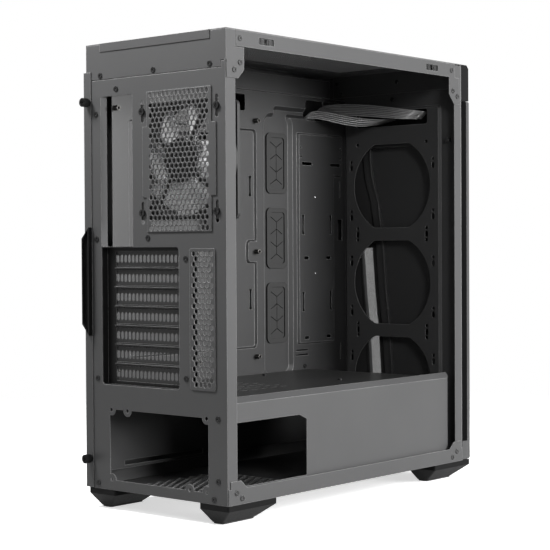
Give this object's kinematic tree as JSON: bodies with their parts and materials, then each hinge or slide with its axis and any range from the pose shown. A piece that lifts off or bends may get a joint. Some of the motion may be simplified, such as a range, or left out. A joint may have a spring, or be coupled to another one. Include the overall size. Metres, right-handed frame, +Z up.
{
  "type": "desktop computer tower",
  "caption": "Empty black mid-tower computer case, left side open, with board tray, card slots, rear fan, power supply shroud and moulded feet.",
  "frame": {"origin": "centre of the outer box, on the floor under the feet", "axes": "+Z up, the front faces -Y, the rear panel faces +Y, the open side faces -X"},
  "size_m": [0.2068, 0.4446, 0.4975],
  "materials": {
    "black_steel": "fine matt black powder coat",
    "black_fastener": "black oxide, satin",
    "zinc_spring": "blackened spring steel",
    "brass_post": "darkened plate",
    "black_rubber": "matt",
    "black_plastic": "fine grain matt",
    "milky_plastic": "milky, half clear",
    "filter_mesh": "woven net in a magnetic frame",
    "board_green": "lacquered board",
    "port_steel": "plated shell",
    "lead_sleeve": "bundled black wires"
  },
  "bodies": {
    "case": {"audio_jacks": "black_plastic", "fan_frame": "black_plastic", "fan_screws": "black_fastener", "floor_pan": "black_steel", "floor_rails": "black_steel", "floor_vent": "black_steel", "foot_front_left": "black_plastic", "foot_front_right": "black_plastic", "foot_pads": "black_rubber", "foot_rear_left": "black_plastic", "foot_rear_right": "black_plastic", "front_posts": "black_steel", "front_top_strip": "black_steel", "front_wall": "black_steel", "grommet_1": "black_rubber", "grommet_2": "black_rubber", "grommet_3": "black_rubber", "io_board": "board_green", "io_housing": "black_plastic", "lead_plugs": "black_plastic", "left_top_rail": "black_steel", "lower_lead": "lead_sleeve", "motherboard_tray": "black_steel", "psu_shroud": "black_steel", "rear_fan_grille": "black_steel", "rear_panel": "black_steel", "rear_rivets": "black_fastener", "rear_top_strip": "black_steel", "rear_vent_grille": "black_steel", "right_top_rail": "black_steel", "shroud_side": "black_steel", "side_clips": "zinc_spring", "side_rivets": "black_fastener", "slot_bracket": "black_steel", "slot_cover_1": "black_steel", "slot_cover_2": "black_steel", "slot_cover_3": "black_steel", "slot_cover_4": "black_steel", "slot_cover_5": "black_steel", "slot_cover_6": "black_steel", "slot_cover_7": "black_steel", "slot_screws": "black_fastener", "top_panel": "black_steel", "tray_standoffs": "brass_post", "tray_top_rail": "black_steel", "upper_lead": "lead_sleeve", "usb_ports": "port_steel"},
    "fan_rotor": {"fan_impeller": "milky_plastic"},
    "side_panel": {"right_side_panel": "black_steel", "side_panel_grip": "black_plastic"},
    "thumb_upper": {"thumb_screw_top": "black_fastener", "thumb_shank_top": "black_fastener"},
    "thumb_lower": {"thumb_screw_bottom": "black_fastener", "thumb_shank_bottom": "black_fastener"},
    "front_cover": {"front_plate": "black_plastic", "front_frame": "black_plastic"},
    "filter": {"top_filter": "filter_mesh"},
    "power": {"power_button": "black_plastic"},
    "reset": {"reset_button": "black_plastic"}
  },
  "joints": [
    {"name": "fan_spin", "type": "hinge", "parent": "case", "child": "fan_rotor", "pos_m": [-0.0374, 0.20176, 0.3679], "axis": [0, 1, 0], "continuous": true},
    {"name": "side_panel_slide", "type": "slide", "parent": "case", "child": "side_panel", "axis": [0, 1, 0], "range_m": [0, 0.025]},
    {"name": "thumb_upper_turn", "type": "hinge", "parent": "side_panel", "child": "thumb_upper", "pos_m": [0.0959, 0.21577, 0.4348], "axis": [0, 1, 0], "continuous": true},
    {"name": "thumb_lower_turn", "type": "hinge", "parent": "side_panel", "child": "thumb_lower", "pos_m": [0.0959, 0.21577, 0.05335], "axis": [0, 1, 0], "continuous": true},
    {"name": "front_cover_pull", "type": "slide", "parent": "case", "child": "front_cover", "axis": [0, -1, 0], "range_m": [0, 0.06]},
    {"name": "filter_lift", "type": "slide", "parent": "case", "child": "filter", "axis": [0, 0, 1], "range_m": [0, 0.04]},
    {"name": "power_press", "type": "slide", "parent": "case", "child": "power", "axis": [0, 0, -1], "range_m": [0, 0.0015], "stiffness_N_per_m": 600, "springref_m": -0.001},
    {"name": "reset_press", "type": "slide", "parent": "case", "child": "reset", "axis": [0, 0, -1], "range_m": [0, 0.0015], "stiffness_N_per_m": 500, "springref_m": -0.001}
  ]
}
